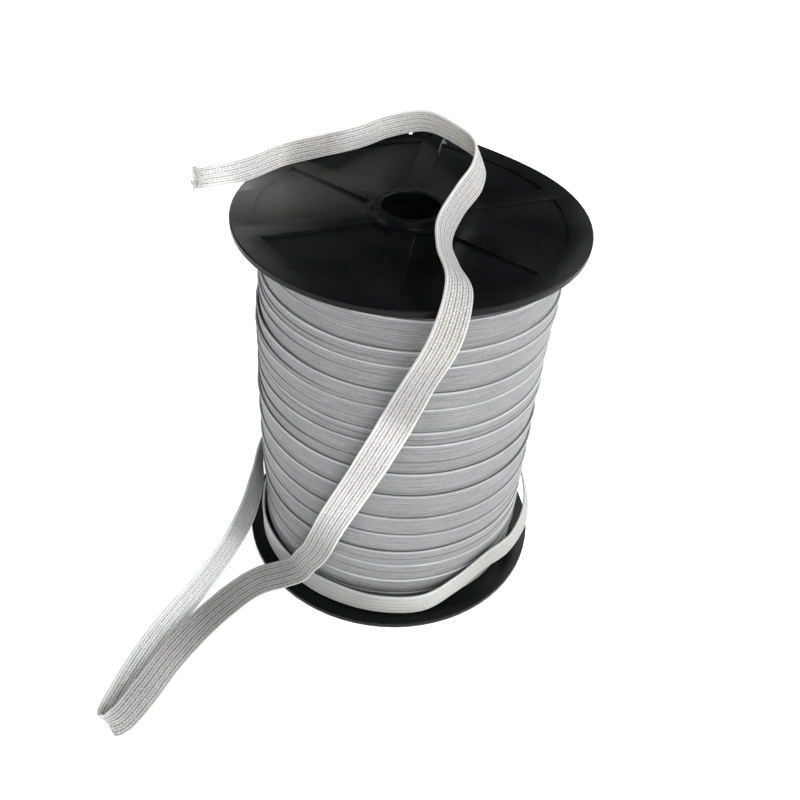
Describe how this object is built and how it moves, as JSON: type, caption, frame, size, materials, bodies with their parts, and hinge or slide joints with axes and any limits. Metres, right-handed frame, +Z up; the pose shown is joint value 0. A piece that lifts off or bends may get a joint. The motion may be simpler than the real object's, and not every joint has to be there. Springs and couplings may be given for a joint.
{
  "type": "roll of elastic",
  "caption": "Black plastic spool of flat braided elastic tape with a flanged core, its free end laid over the top, looped out in front and slack round the foot.",
  "frame": {"origin": "middle of the bounding box's footprint, on the surface the spool stands on", "axes": "+Z up along the spool's axis; +Y away from the side where the loose tape comes down; +X to the right of that side"},
  "size_m": [0.1708, 0.191, 0.1822],
  "materials": {
    "spool_plastic": "semi-gloss black moulded plastic",
    "core_plastic": "matt black moulded plastic",
    "wound_elastic": "ribbed braided elastic, light grey",
    "loose_elastic": "ribbed braided elastic, off-white"
  },
  "bodies": {
    "root": {"flange_bottom": "spool_plastic", "barrel": "core_plastic", "winding": "wound_elastic", "flange_top": "spool_plastic", "loose_end": "loose_elastic", "slack_turn": "loose_elastic"}
  },
  "joints": []
}
